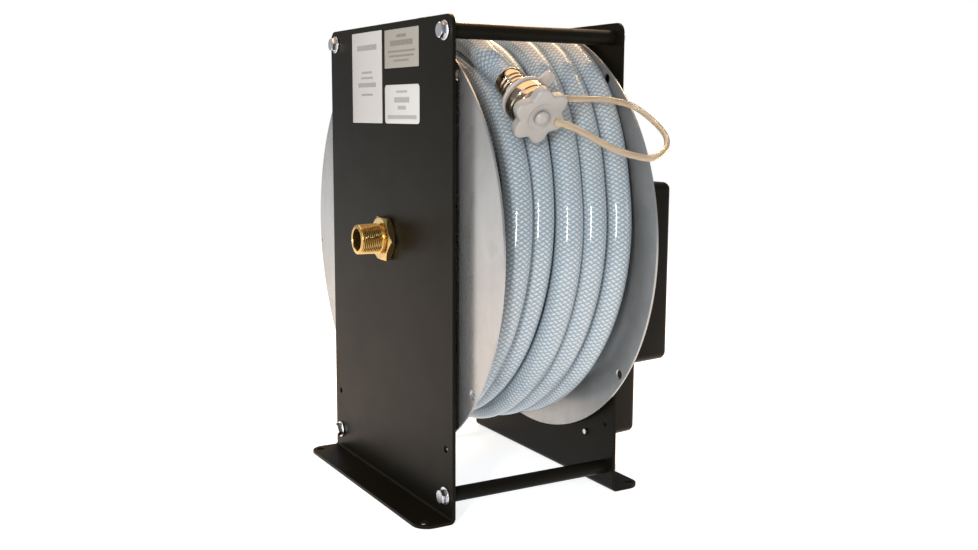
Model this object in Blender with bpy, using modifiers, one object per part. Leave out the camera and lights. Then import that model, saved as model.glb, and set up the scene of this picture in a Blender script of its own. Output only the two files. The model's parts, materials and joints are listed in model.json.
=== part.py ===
"""A powered hose reel: a drum of clear braided hose between two bent side plates.

The reel frame has +X along the drum's axle, -Y at the front, where the hose end hangs, and +Z up.
Its origin is on the floor, under the middle of the whole reel's width. All sizes are in metres.
"""
import math

import bmesh
import bpy
from mathutils import Vector

# ---- driving dimensions ----
PLATE_HEIGHT = 0.4191
PLATE_DEPTH = 0.254
PLATE_T = 0.003
FRAME_HALF_WIDTH = 0.0837          # mid-plane to the outer face of a side plate
FOOT_REACH = 0.1146                # mid-plane to the outer edge of a foot
COVER_REACH = 0.1460               # mid-plane to the outer face of the drive cover
AXLE_HEIGHT = 0.2292
DISC_RADIUS = 0.1905
DISC_T = 0.002
LEFT_DISC_X = -0.0733              # outer face of the left disc
RIGHT_DISC_X = 0.0738              # inner face of the right disc
CORE_RADIUS = 0.0855
CORE_T = 0.0015
HOSE_RADIUS = 0.0115
HUB_SCREW_RADIUS = 0.026
HUB_FLANGE_RADIUS = 0.033
OUTLET_X = -0.040                  # where the water leaves the swivel for the hose
GAP = 0.0003                       # left between pieces that touch
FASTENER_GAP = 0.0002              # the same, under washers and heads

BOLT_INSET = 0.0127                # tie rods from the top, front and back edges
LOW_BOLT_HEIGHT = 0.0215
ROD_RADIUS = 0.00635
MID_X = (FOOT_REACH - COVER_REACH) / 2

# the drive, in the plane of the right side plate (y, z)
DRUM_TEETH = 24
PINION_TEETH = 10
CHAIN_PITCH = 0.009525
PINION_AT = (-0.069, 0.165)
MOTOR_Y = -0.041
MOTOR_X = 0.108
SPROCKET_X = 0.1240
SPROCKET_T = 0.0044

# the hose pack: turns lie in lanes, and the last one leaves the leftmost lane over the top
LANE_X = -0.0595
LANE_WALL_X = -0.0472
LANE_FLOOR = 0.1485
TOP_TURN_RADIUS = 0.162            # centre of the hose in the outermost layer
PACK_RADIUS = 0.1726
TAIL_RADIUS = 0.1863               # centre of the tail where it lies on the pack
TAIL_START_DEG = -75
TAIL_LEAVES_DEG = -304             # where the tail stops following the pack
TAIL_STEP_DEG = 10
TAIL_STRAIGHT = 0.008              # stiff end, where the stem is inside the hose
TAIL_OVER_X = -0.0375
FERRULE_AT = Vector((-0.0316, -0.1260, 0.3675))
END_DIRECTION = Vector((0.047, -0.842, -0.537)).normalized()

SEGMENTS = 24

# every tether point is the middle of the strap, in the frame's mid-plane coordinates
TETHER_ROUTE = [
    (-0.0080, -0.1483, 0.3553), (0.0120, -0.1486, 0.3535), (0.0280, -0.1492, 0.3532),
    (0.0470, -0.1509, 0.3530), (0.0685, -0.1583, 0.3482), (0.0790, -0.1720, 0.3370),
    (0.0835, -0.1850, 0.3245), (0.0780, -0.1940, 0.3147), (0.0640, -0.2000, 0.3077),
    (0.0490, -0.2016, 0.3067), (0.0245, -0.1980, 0.3130), (0.0067, -0.1915, 0.3225),
    (-0.0096, -0.1835, 0.3315), (-0.0215, -0.1793, 0.3350),
]
TETHER_RADIUS = 0.0028
PULL_TAB_AT = math.radians(50)     # about the hose end's own axis

# local axes of a turned or extruded piece, turned to the reel's
ALONG_X = (0, math.pi / 2, 0)                 # local Z to +X
SIDE_VIEW = (math.pi / 2, 0, math.pi / 2)     # local X, Y, Z to Y, Z, X
FRONT_VIEW = (math.pi / 2, 0, 0)              # local X, Y, Z to X, Z, -Y
UPRIGHT = (0, 0, 0)

COLORS = {
    "black_powder_coat": ((0.035, 0.033, 0.030), 0.35, 0.0),
    "zinc_plate": ((0.66, 0.68, 0.70), 0.30, 1.0),
    "galvanised_steel": ((0.55, 0.56, 0.56), 0.45, 0.9),
    "brass": ((0.72, 0.50, 0.18), 0.25, 1.0),
    "bronze": ((0.55, 0.36, 0.18), 0.40, 1.0),
    "chrome": ((0.80, 0.78, 0.75), 0.10, 1.0),
    "machined_steel": ((0.55, 0.55, 0.56), 0.30, 1.0),
    "cast_aluminium": ((0.60, 0.61, 0.62), 0.50, 0.9),
    "black_plastic": ((0.030, 0.030, 0.030), 0.45, 0.0),
    "braided_hose": ((0.70, 0.76, 0.80), 0.25, 0.0),
    "milky_plastic": ((0.80, 0.77, 0.72), 0.35, 0.0),
    "black_rubber": ((0.020, 0.020, 0.020), 0.70, 0.0),
}


# ---- scene helpers ----
def clear_scene():
    for thing in list(bpy.data.objects):
        bpy.data.objects.remove(thing)


def make_materials():
    made = {}
    for name, (color, roughness, metallic) in COLORS.items():
        material = bpy.data.materials.new(name)
        material.use_nodes = True
        shader = material.node_tree.nodes["Principled BSDF"]
        shader.inputs["Base Color"].default_value = (*color, 1)
        shader.inputs["Roughness"].default_value = roughness
        shader.inputs["Metallic"].default_value = metallic
        made[name] = material
    return made


def make_collection(name):
    made = bpy.data.collections.new(name)
    bpy.context.scene.collection.children.link(made)
    return made


def make_empty(name, location, parent=None):
    empty = bpy.data.objects.new(name, None)
    empty.location = location
    empty.parent = parent
    PARTS.objects.link(empty)
    return empty


def place(name, mesh, material, parent, location=(0, 0, 0), rotation=UPRIGHT):
    made = bpy.data.objects.new(name, mesh)
    made.location = location
    made.rotation_euler = rotation
    made.parent = parent
    if material:
        mesh.materials.clear()
        mesh.materials.append(MATERIALS[material])
        PARTS.objects.link(made)
    else:
        made.display_type = "WIRE"
        made.hide_render = True
        CUTTERS.objects.link(made)
    return made


def boolean(target, tool, operation="DIFFERENCE"):
    step = target.modifiers.new(tool.name, "BOOLEAN")
    step.operation = operation
    step.solver = "EXACT"
    step.object = tool
    return target


def baked_mesh(thing):
    bpy.context.view_layer.update()
    graph = bpy.context.evaluated_depsgraph_get()
    return bpy.data.meshes.new_from_object(thing.evaluated_get(graph))


def shade(mesh, angle=math.radians(40)):
    mesh.shade_smooth()
    mesh.set_sharp_from_angle(angle=angle)


# ---- outlines ----
def circle(radius, centre=(0, 0), points=SEGMENTS, turn=0.0):
    angles = [turn + 2 * math.pi * k / points for k in range(points)]
    return [(centre[0] + radius * math.cos(a), centre[1] + radius * math.sin(a)) for a in angles]


def filleted(corners, steps=4):
    """An outline through corners (x, y, radius), each rounded by an arc of that radius."""
    outline = []
    count = len(corners)
    for k, (x, y, radius) in enumerate(corners):
        here = Vector((x, y))
        before = (Vector(corners[k - 1][:2]) - here).normalized()
        after = (Vector(corners[(k + 1) % count][:2]) - here).normalized()
        if radius <= 0:
            outline.append((x, y))
            continue
        half = before.angle(after) / 2
        centre = here + (before + after).normalized() * (radius / math.sin(half))
        start = here + before * (radius / math.tan(half)) - centre
        end = here + after * (radius / math.tan(half)) - centre
        for step in range(steps + 1):
            spoke = start.slerp(end, step / steps)
            outline.append(tuple(centre + spoke.normalized() * radius))
    return outline


def toothed(teeth, pitch):
    """A sprocket's outline, with four points a tooth."""
    pitch_radius = pitch / (2 * math.sin(math.pi / teeth))
    root, tip = pitch_radius - 0.24 * pitch, pitch_radius + 0.22 * pitch
    step = 2 * math.pi / teeth
    outline = []
    for k in range(teeth):
        for share, radius in ((-0.32, root), (-0.11, tip), (0.11, tip), (0.32, root)):
            angle = (k + share) * step
            outline.append((radius * math.cos(angle), radius * math.sin(angle)))
    return outline


def loop_around(first, first_radius, second, second_radius, steps=14):
    """The outline of a belt around two circles."""
    a, b = Vector(first), Vector(second)
    heading = math.atan2(b.y - a.y, b.x - a.x)
    lean = math.acos((first_radius - second_radius) / (b - a).length)
    outline = []
    for k in range(steps + 1):
        angle = heading + lean + (2 * math.pi - 2 * lean) * k / steps
        outline.append((a.x + first_radius * math.cos(angle), a.y + first_radius * math.sin(angle)))
    for k in range(steps + 1):
        angle = heading - lean + 2 * lean * k / steps
        outline.append((b.x + second_radius * math.cos(angle), b.y + second_radius * math.sin(angle)))
    return outline


# ---- solids ----
def prism_mesh(name, outlines, low, high):
    """A flat outline, with any holes, thickened along local Z from low to high."""
    curve = bpy.data.curves.new(name, "CURVE")
    curve.dimensions = "2D"
    curve.fill_mode = "BOTH"
    curve.extrude = (high - low) / 2
    for outline in outlines:
        spline = curve.splines.new("POLY")
        spline.points.add(len(outline) - 1)
        for point, (x, y) in zip(spline.points, outline):
            point.co = (x, y, 0, 1)
        spline.use_cyclic_u = True
    guide = bpy.data.objects.new(name, curve)
    CUTTERS.objects.link(guide)
    mesh = baked_mesh(guide)
    bpy.data.objects.remove(guide)
    shape = bmesh.new()
    shape.from_mesh(mesh)
    bmesh.ops.remove_doubles(shape, verts=shape.verts, dist=1e-6)
    bmesh.ops.translate(shape, verts=shape.verts, vec=(0, 0, (low + high) / 2))
    bmesh.ops.recalc_face_normals(shape, faces=shape.faces)
    shape.to_mesh(mesh)
    shape.free()
    return mesh


def prism(name, outlines, low, high, material, parent, rotation, location=(0, 0, 0)):
    mesh = prism_mesh(name, outlines, low, high)
    return place(name, mesh, material, parent, location, rotation)


def turned(name, profile, material, parent, rotation=ALONG_X, location=(0, 0, 0),
           closed=False, segments=SEGMENTS):
    """A profile of (along, radius) points, run down the outer side, turned about local Z."""
    mesh = bpy.data.meshes.new(name)
    edges = [(k, k + 1) for k in range(len(profile) - 1)]
    if closed:
        edges.append((len(profile) - 1, 0))
    mesh.from_pydata([(radius, 0, along) for along, radius in profile], edges, [])
    made = place(name, mesh, material, parent, location, rotation)
    screw = made.modifiers.new("turn", "SCREW")
    screw.axis = "Z"
    screw.angle = 2 * math.pi
    screw.steps = screw.render_steps = segments
    screw.use_merge_vertices = True
    screw.merge_threshold = 0.00001
    return made


def tube_profile(low, high, inner, outer):
    return [(high, inner), (high, outer), (low, outer), (low, inner)]


def rod_profile(low, high, radius):
    return [(high, 0), (high, radius), (low, radius), (low, 0)]


def drill(target, name, radius, low, high, parent, rotation=ALONG_X, location=(0, 0, 0), points=16):
    """Cuts a round hole through target, along local Z from low to high."""
    tool = prism(name, [circle(radius, points=points)], low, high, None, parent, rotation, location)
    return boolean(target, tool)


# ---- the frame ----
def rod_places():
    reach = PLATE_DEPTH / 2 - BOLT_INSET
    for y_name, y in (("front", -reach), ("back", reach)):
        for z_name, z in (("top", PLATE_HEIGHT - BOLT_INSET), ("bottom", LOW_BOLT_HEIGHT)):
            yield f"{y_name}_{z_name}", y, z


def side_plate(name, side, hub_hole):
    """A bent plate: a wall with rounded top corners, and a foot turned outwards."""
    outer, inner = FRAME_HALF_WIDTH, FRAME_HALF_WIDTH - PLATE_T
    bend = 0.002
    section = filleted([
        (side * inner, 0, bend + PLATE_T), (side * inner, PLATE_HEIGHT, 0),
        (side * outer, PLATE_HEIGHT, 0), (side * outer, PLATE_T, bend),
        (side * FOOT_REACH, PLATE_T, 0), (side * FOOT_REACH, 0, 0),
    ])
    half = PLATE_DEPTH / 2
    plate = prism(name, [section], -half, half, "black_powder_coat", REEL, FRONT_VIEW)

    beyond, round_corner = 0.01, 0.010
    wall = filleted([
        (-half, -beyond, 0), (half, -beyond, 0),
        (half, PLATE_HEIGHT, round_corner), (-half, PLATE_HEIGHT, round_corner),
    ], steps=5)
    tool = prism(f"{name}_wall_shape", [wall], -0.2, 0.2, None, REEL, SIDE_VIEW)
    boolean(plate, tool, "INTERSECT")
    foot = filleted([
        (0, -half, 0), (side * FOOT_REACH, -half, round_corner),
        (side * FOOT_REACH, half, round_corner), (0, half, 0),
    ], steps=5)
    tool = prism(f"{name}_foot_shape", [foot], -beyond, 0.5, None, REEL, UPRIGHT)
    boolean(plate, tool, "INTERSECT")

    low, high = sorted((side * (inner - 0.005), side * (outer + 0.005)))
    places = [(f"{key}_bolt", y, z, 0.0036) for key, y, z in rod_places()]
    reach = half - BOLT_INSET
    places += [("front_spare", -reach, 0.062, 0.003), ("back_spare", reach, 0.062, 0.003)]
    places += [("hub", 0, AXLE_HEIGHT, hub_hole)]
    if side > 0:
        places += [(f"drive_{k}", y, z, 0.0032) for k, (y, z) in enumerate(plate_screw_places())]
    for key, y, z, radius in places:
        points = SEGMENTS if key == "hub" else 12
        drill(plate, f"{name}_{key}", radius, low, high, REEL, location=(0, y, z), points=points)
    for key, y in (("front", -0.117), ("back", 0.117)):
        drill(plate, f"{name}_foot_{key}", 0.004, -beyond, beyond, REEL, UPRIGHT,
              (side * 0.106, y, 0), points=12)
    return plate


def tie_rod(name, y, z):
    reach, socket, bore = FRAME_HALF_WIDTH - PLATE_T - GAP, 0.062, 0.0034
    profile = [
        (socket, 0), (socket, bore), (reach, bore), (reach, ROD_RADIUS),
        (-reach, ROD_RADIUS), (-reach, bore), (-socket, bore), (-socket, 0),
    ]
    return turned(name, profile, "black_powder_coat", REEL, location=(0, y, z), segments=16)


def hex_bolt_mesh(name, across_flats, head, shank_radius, length):
    """A hex head from local Z 0 up to head, over a shank that runs down to -length."""
    corner = across_flats / 2 / math.cos(math.pi / 6)
    bolt = prism(name, [circle(corner, points=6)], 0, head, "zinc_plate", None, UPRIGHT)
    shank = prism(f"{name}_shank", [circle(shank_radius, points=10)], -length, head / 2,
                  None, None, UPRIGHT)
    boolean(bolt, shank, "UNION")
    mesh = baked_mesh(bolt)
    bpy.data.objects.remove(bolt)
    bpy.data.objects.remove(shank)
    return mesh


def frame_fasteners():
    washer_t = 0.001
    bolt = hex_bolt_mesh("tie_bolt", 0.0111, 0.0042, 0.0031, 0.0165)
    for side, side_name in ((-1, "left"), (1, "right")):
        facing = (0, side * math.pi / 2, 0)
        for key, y, z in rod_places():
            face = FRAME_HALF_WIDTH + FASTENER_GAP
            turned(f"{side_name}_washer_{key}", tube_profile(face, face + washer_t, 0.0036, 0.0079),
                   "zinc_plate", REEL, facing, (0, y, z), closed=True, segments=14)
            head = face + washer_t + FASTENER_GAP
            place(f"{side_name}_bolt_{key}", bolt, "zinc_plate", REEL, (side * head, y, z), facing)


# ---- the water inlet, on the left ----
def water_inlet():
    plate_face = -FRAME_HALF_WIDTH
    thread_end, hex_face = -0.1134, -0.0910
    spigot, shank, thread = 0.0106, 0.0126, 0.0131
    wide_bore, narrow_bore = 0.0100, 0.0070
    joint, step, spigot_end = -0.0780, -0.0740, -0.0450
    fitting = turned("inlet_fitting", [
        (joint, wide_bore), (joint, shank), (-0.0875, shank), (-0.0875, thread),
        (thread_end + 0.0012, thread), (thread_end, thread - 0.0010), (thread_end, wide_bore),
    ], "brass", AXLE, closed=True, segments=28)
    corner = 0.0381 / 2 / math.cos(math.pi / 6)
    flats = [circle(corner, points=6, turn=math.radians(3.3)), circle(shank - 0.0005, points=28)]
    tool = prism("inlet_hex", flats, hex_face, plate_face - FASTENER_GAP, None, AXLE, SIDE_VIEW)
    boolean(fitting, tool, "UNION")
    turned("swivel_spigot", [
        (spigot_end, narrow_bore), (spigot_end, spigot), (step, spigot), (step, shank),
        (joint + GAP, shank), (joint + GAP, narrow_bore),
    ], "brass", AXLE, closed=True, segments=28)

    prism("inlet_lock_nut", [circle(corner, points=6), circle(shank + GAP, points=28)],
          -0.0804, -0.0754, "brass", AXLE, SIDE_VIEW)


# ---- the drum ----
def drum_disc(name, low, hub_hole, extra_hole=None):
    """A flat disc with four small holes near its rim."""
    holes = [circle(hub_hole)]
    for k in range(4):
        angle = math.radians(51 + 90 * k)
        holes.append(circle(0.0042, (-0.183 * math.cos(angle), 0.183 * math.sin(angle)), 10))
    for side in (-1, 1):
        holes.append(circle(0.0024, (side * HUB_SCREW_RADIUS, 0), 8))
    if extra_hole:
        holes.append(circle(0.0012, extra_hole, 6))
    return prism(name, [circle(DISC_RADIUS, points=72)] + holes, low, low + DISC_T,
                 "galvanised_steel", DRUM, SIDE_VIEW)


def drum():
    drum_disc("left_disc", LEFT_DISC_X, 0.0145, (0.187, -0.021))
    drum_disc("right_disc", RIGHT_DISC_X, 0.0105)
    core_low = LEFT_DISC_X + DISC_T + GAP
    core_high = RIGHT_DISC_X - GAP
    core = turned("drum_core", tube_profile(core_low, core_high, CORE_RADIUS - CORE_T, CORE_RADIUS),
                  "galvanised_steel", DRUM, closed=True, segments=48)
    drill(core, "core_hose_hole", 0.0100, 0.07, 0.10, DRUM, UPRIGHT, (OUTLET_X, 0, 0))

    flange = core_low + 0.004
    hub = turned("swivel_hub", [
        (-0.0300, 0), (-0.0300, 0.017), (flange, 0.017), (flange, HUB_FLANGE_RADIUS),
        (core_low, HUB_FLANGE_RADIUS), (core_low, 0.0114), (-0.0420 + 0.006, 0.0114), (-0.0360, 0),
    ], "brass", DRUM, segments=28)
    drill(hub, "hub_port", 0.0065, 0.008, 0.020, DRUM, UPRIGHT, (OUTLET_X, 0, 0), points=12)
    riser = turned("outlet_riser", tube_profile(0.0150, CORE_RADIUS - 0.0004, 0.0050, 0.0082),
                   "brass", DRUM, UPRIGHT, (OUTLET_X, 0, 0), closed=True, segments=14)
    saddle = turned("riser_seat", rod_profile(-0.08, 0.0, 0.0176), None, DRUM, segments=28)
    boolean(riser, saddle)

    face = core_high
    hub = turned("drive_hub", [
        (0.1330, 0), (0.1330, 0.0095), (face, 0.0095), (face, HUB_FLANGE_RADIUS),
        (face - 0.004, HUB_FLANGE_RADIUS), (face - 0.004, 0.017), (0.0520, 0.017), (0.0520, 0),
    ], "machined_steel", DRUM)
    screw = hex_bolt_mesh("hub_screw", 0.0070, 0.0016, 0.0020, 0.0056)
    for side, facing, face, hub in (
        ("left", (0, -math.pi / 2, 0), LEFT_DISC_X - FASTENER_GAP, "swivel_hub"),
        ("right", (0, math.pi / 2, 0), RIGHT_DISC_X + DISC_T + FASTENER_GAP, "drive_hub"),
    ):
        for key, y in (("front", -HUB_SCREW_RADIUS), ("back", HUB_SCREW_RADIUS)):
            place(f"{side}_hub_screw_{key}", screw, "zinc_plate", DRUM, (face, y, 0), facing)
            drill(bpy.data.objects[hub], f"{hub}_{key}_hole", 0.0023, face - 0.008, face + 0.008,
                  DRUM, location=(0, y, 0), points=10)


def bearing():
    face = FRAME_HALF_WIDTH + FASTENER_GAP
    housing = turned("bearing_housing", [
        (face + 0.012, 0.0133), (face + 0.012, 0.019), (face + 0.004, 0.019),
        (face + 0.004, 0.031), (face, 0.031), (face, 0.0133),
    ], "cast_aluminium", AXLE, closed=True)
    turned("shaft_bushing", tube_profile(0.0785, face + 0.0135, 0.0098, 0.0130), "bronze", AXLE,
           closed=True)
    bolt = hex_bolt_mesh("bearing_bolt", 0.0100, 0.0040, 0.0029, 0.0080)
    head = face + 0.004 + FASTENER_GAP
    for k, (y, z) in enumerate(plate_screw_places()[:2]):
        place(f"bearing_bolt_{k + 1}", bolt, "zinc_plate", REEL, (head, y, z), ALONG_X)
        drill(housing, f"bearing_hole_{k + 1}", 0.0033, face - 0.01, face + 0.01, REEL,
              location=(0, y, z), points=10)


def plate_screw_places():
    """Holes in the right plate: two bearing bolts, two gearbox bolts, three cover screws."""
    pinion_y, pinion_z = PINION_AT
    return [
        (0.0, AXLE_HEIGHT + 0.0250), (0.0, AXLE_HEIGHT - 0.0250),
        (pinion_y - 0.024, pinion_z), (pinion_y, pinion_z + 0.024),
        (-0.0850, 0.0470), (-0.1020, 0.1020), (0.0660, 0.2000),
    ]


# ---- the drive, on the right ----
def sprocket_radius(teeth, grow=0.0):
    return CHAIN_PITCH / (2 * math.sin(math.pi / teeth)) + grow


def drive():
    pinion_y, pinion_z = PINION_AT
    high = SPROCKET_X + SPROCKET_T
    wheel = prism("drum_sprocket", [toothed(DRUM_TEETH, CHAIN_PITCH), circle(0.0098)],
                  SPROCKET_X, high, "machined_steel", DRUM, SIDE_VIEW)
    boss = prism("sprocket_boss", [circle(0.0170), circle(0.0098)], SPROCKET_X - 0.012,
                 SPROCKET_X + 0.001, None, DRUM, SIDE_VIEW)
    boolean(wheel, boss, "UNION")
    pinion = prism("drive_pinion", [toothed(PINION_TEETH, CHAIN_PITCH)], SPROCKET_X, high,
                   "machined_steel", PINION, SIDE_VIEW)
    shaft = prism("pinion_shaft", [circle(0.0060, points=16)], 0.1060, high + 0.003, None, PINION,
                  SIDE_VIEW)
    boolean(pinion, shaft, "UNION")
    inside, outside = 0.0026, 0.0056
    loops = [loop_around((0, AXLE_HEIGHT), sprocket_radius(DRUM_TEETH, grow),
                         PINION_AT, sprocket_radius(PINION_TEETH, grow))
             for grow in (outside, inside)]
    prism("roller_chain", loops, SPROCKET_X - 0.0015, high + 0.0015, "machined_steel", REEL, SIDE_VIEW)

    face = FRAME_HALF_WIDTH + GAP
    gearbox = prism("gearbox", [circle(0.0340, PINION_AT, 28)], face, 0.1180, "cast_aluminium",
                    REEL, SIDE_VIEW)
    tunnel = prism("worm_tunnel", [circle(0.0130, (MOTOR_X, MOTOR_Y), 16)], 0.1290, 0.2030, None,
                   REEL, UPRIGHT)
    boolean(gearbox, tunnel, "UNION")
    nose = prism("output_nose", [circle(0.0120, PINION_AT, 20)], 0.1170, 0.1215, None, REEL, SIDE_VIEW)
    boolean(gearbox, nose, "UNION")
    drill(gearbox, "output_bore", 0.0064, 0.1040, 0.13, REEL, location=(0, pinion_y, pinion_z))
    bolt = hex_bolt_mesh("gearbox_bolt", 0.0080, 0.0030, 0.0024, 0.0140)
    for k, (y, z) in enumerate(plate_screw_places()[2:4]):
        inner = FRAME_HALF_WIDTH - PLATE_T - FASTENER_GAP
        drill(gearbox, f"gearbox_socket_{k + 1}", 0.0028, 0.08, 0.0985, REEL, location=(0, y, z),
              points=10)
        place(f"gearbox_bolt_{k + 1}", bolt, "zinc_plate", REEL, (inner, y, z), (0, -math.pi / 2, 0))
    turned("drive_motor", [
        (0.1287, 0), (0.1287, 0.0190), (0.1240, 0.0220), (0.0600, 0.0220), (0.0560, 0.0200),
        (0.0560, 0.0080), (0.0520, 0.0080), (0.0520, 0),
    ], "black_plastic", REEL, UPRIGHT, (MOTOR_X, MOTOR_Y, 0))


def cover_outline(inset):
    """The cover's outline in (y, z), drawn in by inset."""
    corners = [
        (-0.0760, 0.0320, 1), (-0.0060, 0.0320, 1), (-0.0060, 0.1135, -1), (0.0520, 0.1135, 1),
        (0.0520, 0.2825, 1), (-0.1220, 0.2825, 1), (-0.1220, 0.1135, 1), (-0.0760, 0.1135, -1),
    ]
    signs = [(1, 1), (-1, 1), (-1, 1), (-1, 1), (-1, -1), (1, -1), (1, 1), (1, 1)]
    base = 0.0090
    drawn = []
    for (y, z, turn), (dy, dz) in zip(corners, signs):
        drawn.append((y + dy * inset, z + dz * inset, base - turn * inset))
    return filleted(drawn)


def drive_cover():
    """A pressed cover: walls that lean in, a rounded rim and a flat face, open to the plate."""
    rim = 0.0040
    face = FRAME_HALF_WIDTH + GAP
    lean = 0.0030
    sections = [(face, -lean)]
    for k in range(4):
        angle = math.pi / 2 * k / 3
        sections.append((COVER_REACH - rim + rim * math.sin(angle), rim * (1 - math.cos(angle))))
    shape = bmesh.new()
    rings = []
    for x, inset in sections:
        rings.append([shape.verts.new((y, z, x)) for y, z in cover_outline(inset)])
    for low, high in zip(rings, rings[1:]):
        for k in range(len(low)):
            following = (k + 1) % len(low)
            shape.faces.new((low[k], low[following], high[following], high[k]))
    shape.faces.new(rings[-1])
    bmesh.ops.recalc_face_normals(shape, faces=shape.faces)
    mesh = bpy.data.meshes.new("drive_cover")
    shape.to_mesh(mesh)
    shape.free()
    cover = place("drive_cover", mesh, "black_powder_coat", REEL, rotation=SIDE_VIEW)
    shell = cover.modifiers.new("wall", "SOLIDIFY")
    shell.thickness = 0.0018
    shell.offset = -1
    tabs = (
        ((-0.0920, 0.0380), (-0.0770, 0.0560)), ((-0.1120, 0.0930), (-0.0920, 0.1117)),
        ((0.0538, 0.1900), (0.0750, 0.2100)),
    )
    screw = hex_bolt_mesh("cover_screw", 0.0070, 0.0030, 0.0024, 0.0080)
    for k, ((low_y, low_z), (high_y, high_z)) in enumerate(tabs):
        y, z = plate_screw_places()[4 + k]
        outline = filleted([(low_y, low_z, 0.002), (high_y, low_z, 0.002),
                            (high_y, high_z, 0.002), (low_y, high_z, 0.002)], steps=2)
        tab = prism(f"cover_tab_{k + 1}", [outline], face, face + 0.0018, None, REEL, SIDE_VIEW)
        boolean(cover, tab, "UNION")
        drill(cover, f"cover_hole_{k + 1}", 0.0028, 0.08, 0.09, REEL, location=(0, y, z), points=10)
        head = face + 0.0018 + FASTENER_GAP
        place(f"cover_screw_{k + 1}", screw, "zinc_plate", REEL, (head, y, z), ALONG_X)


# ---- the hose ----
def smooth(value, low, high):
    share = min(1.0, max(0.0, (value - low) / (high - low)))
    return share * share * (3 - 2 * share)


def around(angle_deg, radius, x):
    """A point about the axle; the angle is 0 at the front and 90 at the top."""
    angle = math.radians(angle_deg)
    return Vector((x, -radius * math.cos(angle), AXLE_HEIGHT + radius * math.sin(angle)))


def tail_route():
    """The last turn: up its lane behind the drum, over the top of the pack, to the ferrule."""
    points = []
    angle = TAIL_START_DEG
    while angle >= TAIL_LEAVES_DEG:
        climb = smooth(-angle, 150, 215)
        across = smooth(-angle, 215, 290)
        radius = TOP_TURN_RADIUS + (TAIL_RADIUS - TOP_TURN_RADIUS) * climb
        x = LANE_X + (TAIL_OVER_X - LANE_X) * across
        points.append(around(angle, radius, x))
        angle -= TAIL_STEP_DEG
    last = points[-1]
    straight_from = FERRULE_AT - END_DIRECTION * TAIL_STRAIGHT
    heading = (last - points[-2]).normalized()
    reach = (straight_from - last).length
    for share in (0.5, 1.0):
        start_pull = last + heading * reach * share
        end_pull = straight_from - END_DIRECTION * reach * (1 - share)
        points.append(start_pull.lerp(end_pull, smooth(share, 0, 1)))
    return points + [FERRULE_AT]


def round_tube(name, points, radius, material, parent, location=(0, 0, 0)):
    curve = bpy.data.curves.new(name, "CURVE")
    curve.dimensions = "3D"
    curve.bevel_depth = radius
    curve.bevel_resolution = 2
    curve.use_fill_caps = True
    spline = curve.splines.new("POLY")
    spline.points.add(len(points) - 1)
    for point, co in zip(spline.points, points):
        point.co = (*co, 1)
    curve.materials.append(MATERIALS[material])
    made = bpy.data.objects.new(name, curve)
    made.location = location
    made.parent = parent
    PARTS.objects.link(made)
    return made


def as_cutter(tube):
    """The same tube as a closed mesh, among the cutters; the curve is removed."""
    mesh = baked_mesh(tube)
    shape = bmesh.new()
    shape.from_mesh(mesh)
    bmesh.ops.remove_doubles(shape, verts=shape.verts, dist=1e-6)
    shape.to_mesh(mesh)
    shape.free()
    matrix, name = tube.matrix_world.copy(), tube.name
    bpy.data.objects.remove(tube)
    cutter = place(f"{name}_mesh", mesh, None, None)
    cutter.matrix_world = matrix
    return cutter


def hose():
    """The wound turns as two plain rings, and the last turn, which lies over the lower ring."""
    low, high = LEFT_DISC_X + DISC_T + GAP, RIGHT_DISC_X - GAP
    inner = CORE_RADIUS + GAP
    turned("hose_winding", tube_profile(LANE_WALL_X, high, inner, PACK_RADIUS), "braided_hose",
           DRUM, closed=True, segments=48)
    turned("hose_side_turns", tube_profile(low, LANE_WALL_X - GAP, inner, LANE_FLOOR),
           "braided_hose", DRUM, closed=True, segments=48)
    round_tube("hose_tail", tail_route(), HOSE_RADIUS, "braided_hose", REEL)


# ---- the hose end, along its own local Z from the ferrule's mouth ----
def star_outline(tip, valley, lobes=6, steps=6):
    outline = []
    for k in range(lobes * steps):
        angle = 2 * math.pi * k / (lobes * steps)
        wave = (1 + math.cos(lobes * angle)) / 2
        radius = valley + (tip - valley) * wave ** 0.8
        outline.append((radius * math.cos(angle), radius * math.sin(angle)))
    return outline


def plug_tether():
    """One moulding: a ring around the stem, a tab on it, and the strap out to the plug's button."""
    low, high = 0.0248, 0.0278
    tether = turned("plug_tether", tube_profile(low, high, 0.0073, 0.0200), "milky_plastic", END,
                    UPRIGHT, closed=True)
    start = Vector(TETHER_ROUTE[0]) - FERRULE_AT
    start.rotate(END.rotation_euler.to_quaternion().inverted())
    strap_at = math.atan2(start.y, start.x)
    for name, angle, reach, half_width in (
        ("strap_tab", strap_at, 0.0245, 0.0026), ("pull_tab", PULL_TAB_AT, 0.0300, 0.0055),
    ):
        outline = filleted([(0.0180, -half_width, 0), (reach, -half_width, 0.002),
                            (reach, half_width, 0.002), (0.0180, half_width, 0)], steps=2)
        tab = prism(name, [outline], low, high, None, END, (0, 0, angle))
        boolean(tether, tab, "UNION")
    strap = round_tube("strap", TETHER_ROUTE, TETHER_RADIUS, "milky_plastic", REEL)
    boolean(tether, as_cutter(strap), "UNION")


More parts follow.
